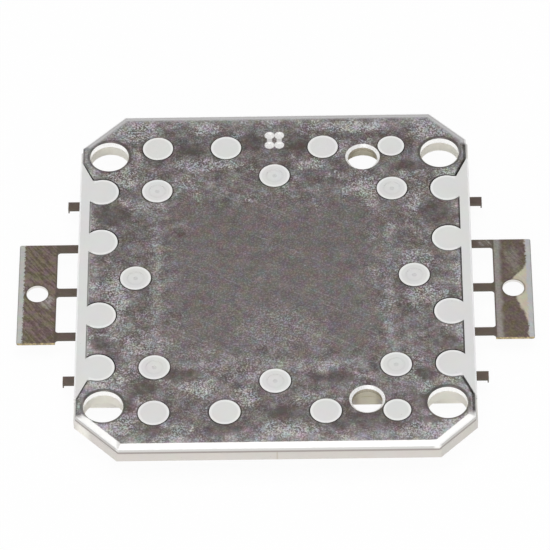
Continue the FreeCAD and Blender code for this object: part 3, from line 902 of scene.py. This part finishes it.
# Phosphor: cast silicone, with the chips behind it showing faintly
phosphorLook = {
    "yellow": (0.86, 0.64, 0.09, 1),
    "overChip": (0.93, 0.76, 0.20, 1),
    "settled": (0.95, 0.70, 0.05, 1),
    "chipColumns": 10,
    "chipRows": 5,
    "chipEdge": (-0.15, 0.25),
    "fieldEdge": 0.3,
    "chipShare": 0.5,
    "grain": {"Scale": 1.2, "Hue Drift": 0.06},
    "settleScale": 0.15,
    "settleCover": (0.3, 0.7, 0.0, 0.12),
    "roughness": (0.22, 0.32),
    "bump": 0.05,
}


def phosphorMaterial(look):
    material, build, point = newMaterial("phosphorSilicone")
    axes = build.split(point)
    low, high = (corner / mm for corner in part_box("led_chips_string_1"))
    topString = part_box("led_chips_string_5")[1] / mm
    chip = high.y - low.y
    pitchX = (high.x - low.x - chip) / (look["chipColumns"] - 1)
    pitchY = (topString.y - high.y) / (look["chipRows"] - 1)
    masks = []
    for axis, pitch, edge in (("X", pitchX, low.x), ("Y", pitchY, low.y)):
        shifted = build.minus(axes[axis], edge + chip / 2 - pitch / 2)
        inCell = build.times(build.math("FRACT", build.math("DIVIDE", shifted, pitch)), pitch)
        away = build.absolute(build.minus(inCell, pitch / 2))
        masks.append(build.fall(away, *[chip / 2 + offset for offset in look["chipEdge"]]))
        masks.append(build.fall(build.absolute(axes[axis]), -edge, -edge + look["fieldEdge"]))
    overChip = masks[0]
    for mask in masks[1:]:
        overChip = build.times(overChip, mask)
    grain = grainAt(build, point, look)
    settle = build.noise(point, look["settleScale"], detail=3)
    base = build.mix(build.times(overChip, look["chipShare"]), look["yellow"], look["overChip"])
    base = build.mix(build.ramp(settle, *look["settleCover"]), base, look["settled"])
    colour = build.tinted(base, grain["Tint"])
    roughness = build.spread(grain["Value"], *look["roughness"])
    finishMaterial(build, colour, roughness, settle, look["bump"], Coat_Weight=0.15)
    return material


# LED chips: polished crystal
chipLook = {
    "crystal": (0.50, 0.57, 0.68, 1),
    "mesa": (0.66, 0.70, 0.62, 1),
    "grain": {"Scale": 6.0, "Hue Drift": 0.1},
    "sheenScale": 2.0,
    "sheenCover": (0.4, 0.6),
    "roughness": (0.08, 0.16),
    "bump": 0.001,
}


def chipMaterial(look):
    material, build, point = newMaterial("crystalChip")
    grain = grainAt(build, point, look)
    sheen = build.noise(point, look["sheenScale"])
    colour = build.mix(build.ramp(sheen, *look["sheenCover"]), look["crystal"], look["mesa"])
    colour = build.tinted(colour, grain["Tint"])
    roughness = build.spread(grain["Value"], *look["roughness"])
    finishMaterial(build, colour, roughness, grain["Value"], look["bump"], Coat_Weight=0.5)
    return material


# Die attach: cured adhesive
adhesiveLook = {
    "cured": (0.80, 0.80, 0.77, 1),
    "shade": (0.6, 0.6, 0.58, 1),
    "shadeShare": 0.15,
    "grain": {"Scale": 4.0, "Hue Drift": 0.04},
    "roughness": (0.4, 0.55),
    "bump": 0.002,
}


def adhesiveMaterial(look):
    material, build, point = newMaterial("dieAdhesive")
    grain = grainAt(build, point, look)
    colour = build.mix(build.times(grain["Value"], look["shadeShare"]), look["cured"], look["shade"])
    roughness = build.spread(grain["Value"], *look["roughness"])
    finishMaterial(build, colour, roughness, grain["Value"], look["bump"])
    return material


# Bond wires: bright drawn gold
wireLook = {
    "gold": (0.93, 0.70, 0.30, 1),
    "goldShade": (0.80, 0.55, 0.20, 1),
    "drawnScale": 3.0,
    "drawnStretch": (0.3, 6, 6),
    "drawnCover": (0.3, 0.7),
    "roughness": (0.18, 0.28),
    "bump": 0.0005,
}


def wireMaterial(look):
    material, build, point = newMaterial("goldWire")
    drawn = build.noise(point, look["drawnScale"], stretch=look["drawnStretch"])
    colour = build.mix(build.ramp(drawn, *look["drawnCover"]), look["gold"], look["goldShade"])
    roughness = build.ramp(drawn, *look["drawnCover"], *look["roughness"])
    finishMaterial(build, colour, roughness, drawn, look["bump"], Metallic=1.0)
    return material


strings = range(1, phosphorLook["chipRows"] + 1)
dress(slugMaterial(slugLook), "heat_slug")
dress(plasticMaterial(plasticLook), "housing")
for name, marks in leadMarks.items():
    dress(leadMaterial(leadLook, name, marks), name)
dress(phosphorMaterial(phosphorLook), "phosphor_encapsulant")
dress(chipMaterial(chipLook), *["led_chips_string_" + str(number) for number in strings])
dress(adhesiveMaterial(adhesiveLook), *["die_attach_string_" + str(number) for number in strings])
dress(wireMaterial(wireLook), *["bond_wires_string_" + str(number) for number in strings])
print("materials on all nodes")


# Pale floor and plain soft light
stageLook = {
    "floorHalf": 1.5,
    "floorLevel": -0.01 * mm,
    "floorColour": (0.96, 0.96, 0.96, 1),
    "floorWhite": 0.95,       # share of plain white that the camera and glossy surfaces see
    "horizon": (0.95, 0.95, 0.95, 1),
    "sky": (0.35, 0.35, 0.36, 1),
    "skyFrom": 0.08,          # sine of the elevation where the horizon starts to darken
    "skyTo": 0.55,
}
softboxes = {
    "overhead": {"place": (0.0, 0.0, 0.60), "size": 0.5, "power": 1.75},
    "front": {"place": (-0.15, -0.60, 0.30), "size": 0.5, "power": 1.2},
}


def addFloor(look):
    half = look["floorHalf"]
    mesh = bpy.data.meshes.new("paleFloor")
    corners = [(-half, -half, 0), (half, -half, 0), (half, half, 0), (-half, half, 0)]
    mesh.from_pydata(corners, [], [(0, 1, 2, 3)])
    floor = bpy.data.objects.new("paleFloor", mesh)
    floor.location.z = look["floorLevel"]
    bpy.context.scene.collection.objects.link(floor)
    material = bpy.data.materials.new("palePaper")
    material.use_nodes = True
    material.node_tree.nodes.clear()
    build = Nodes(material.node_tree)
    rays = build.add("ShaderNodeLightPath").outputs
    seen = build.plus(rays["Is Camera Ray"], rays["Is Glossy Ray"])
    seen = build.plus(seen, rays["Is Transmission Ray"], clamp=True)
    lit = build.add("ShaderNodeBsdfDiffuse", {"Color": look["floorColour"]}).outputs[0]
    white = build.add("ShaderNodeEmission", {"Color": (1, 1, 1, 1), "Strength": 1.0}).outputs[0]
    surface = build.add("ShaderNodeMixShader", {0: build.times(seen, look["floorWhite"]), 1: lit, 2: white})
    build.add("ShaderNodeOutputMaterial", {"Surface": surface.outputs[0]})
    mesh.materials.append(material)


def lightWorld(look):
    world = bpy.data.worlds.new("softRoom")
    world.use_nodes = True
    world.node_tree.nodes.clear()
    build = Nodes(world.node_tree)
    direction = build.add("ShaderNodeTexCoord").outputs["Generated"]
    height = build.split(direction)["Z"]
    rise = build.ramp(height, look["skyFrom"], look["skyTo"])
    colour = build.mix(rise, look["horizon"], look["sky"])
    background = build.add("ShaderNodeBackground", {"Color": colour, "Strength": 1.0}).outputs[0]
    build.add("ShaderNodeOutputWorld", {"Surface": background})
    bpy.context.scene.world = world


def addSoftbox(name, settings):
    lamp = bpy.data.lights.new(name, "AREA")
    lamp.size = settings["size"]
    lamp.energy = settings["power"]
    lampObject = bpy.data.objects.new(name, lamp)
    place = Vector(settings["place"])
    lampObject.location = place
    lampObject.rotation_euler = place.to_track_quat("Z", "Y").to_euler()
    bpy.context.scene.collection.objects.link(lampObject)


addCamera(cameraView)
addFloor(stageLook)
lightWorld(stageLook)
for name, settings in softboxes.items():
    addSoftbox(name, settings)
bpy.context.scene.view_settings.view_transform = "Standard"
print("stage, light and camera set")
